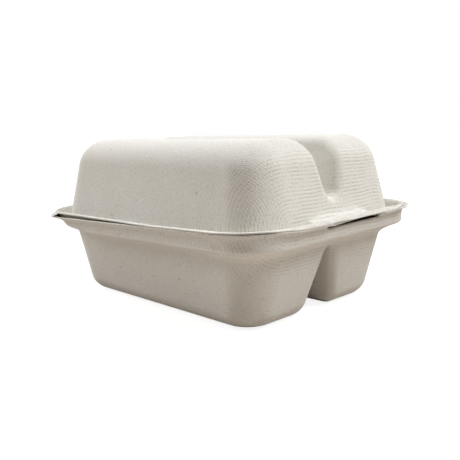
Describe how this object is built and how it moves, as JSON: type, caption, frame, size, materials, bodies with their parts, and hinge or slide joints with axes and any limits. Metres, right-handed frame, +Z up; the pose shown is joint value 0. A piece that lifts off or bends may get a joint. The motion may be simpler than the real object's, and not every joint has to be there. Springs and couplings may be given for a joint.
{
  "type": "fiber taco box",
  "caption": "Closed clamshell taco box of moulded plant fibre: side-by-side troughs under matching humps, with a valley between, a fold at one short end and a slot lock at the other.",
  "frame": {"origin": "centre of the overall box at the plane the tray stands on", "axes": "+X along the compartments from the fold to the lock, +Y across the compartments, +Z up"},
  "size_m": [0.181, 0.133, 0.086],
  "materials": {
    "fibre": "matte moulded plant fibre with a forming-screen texture"
  },
  "bodies": {
    "tray": {"tray": "fibre"},
    "lid": {"lid": "fibre"}
  },
  "joints": [
    {"name": "lid_fold", "type": "hinge", "parent": "tray", "child": "lid", "pos_m": [-0.09046, 0, 0.04491], "axis": [0, -1, 0], "range_deg": [0, 180]}
  ]
}
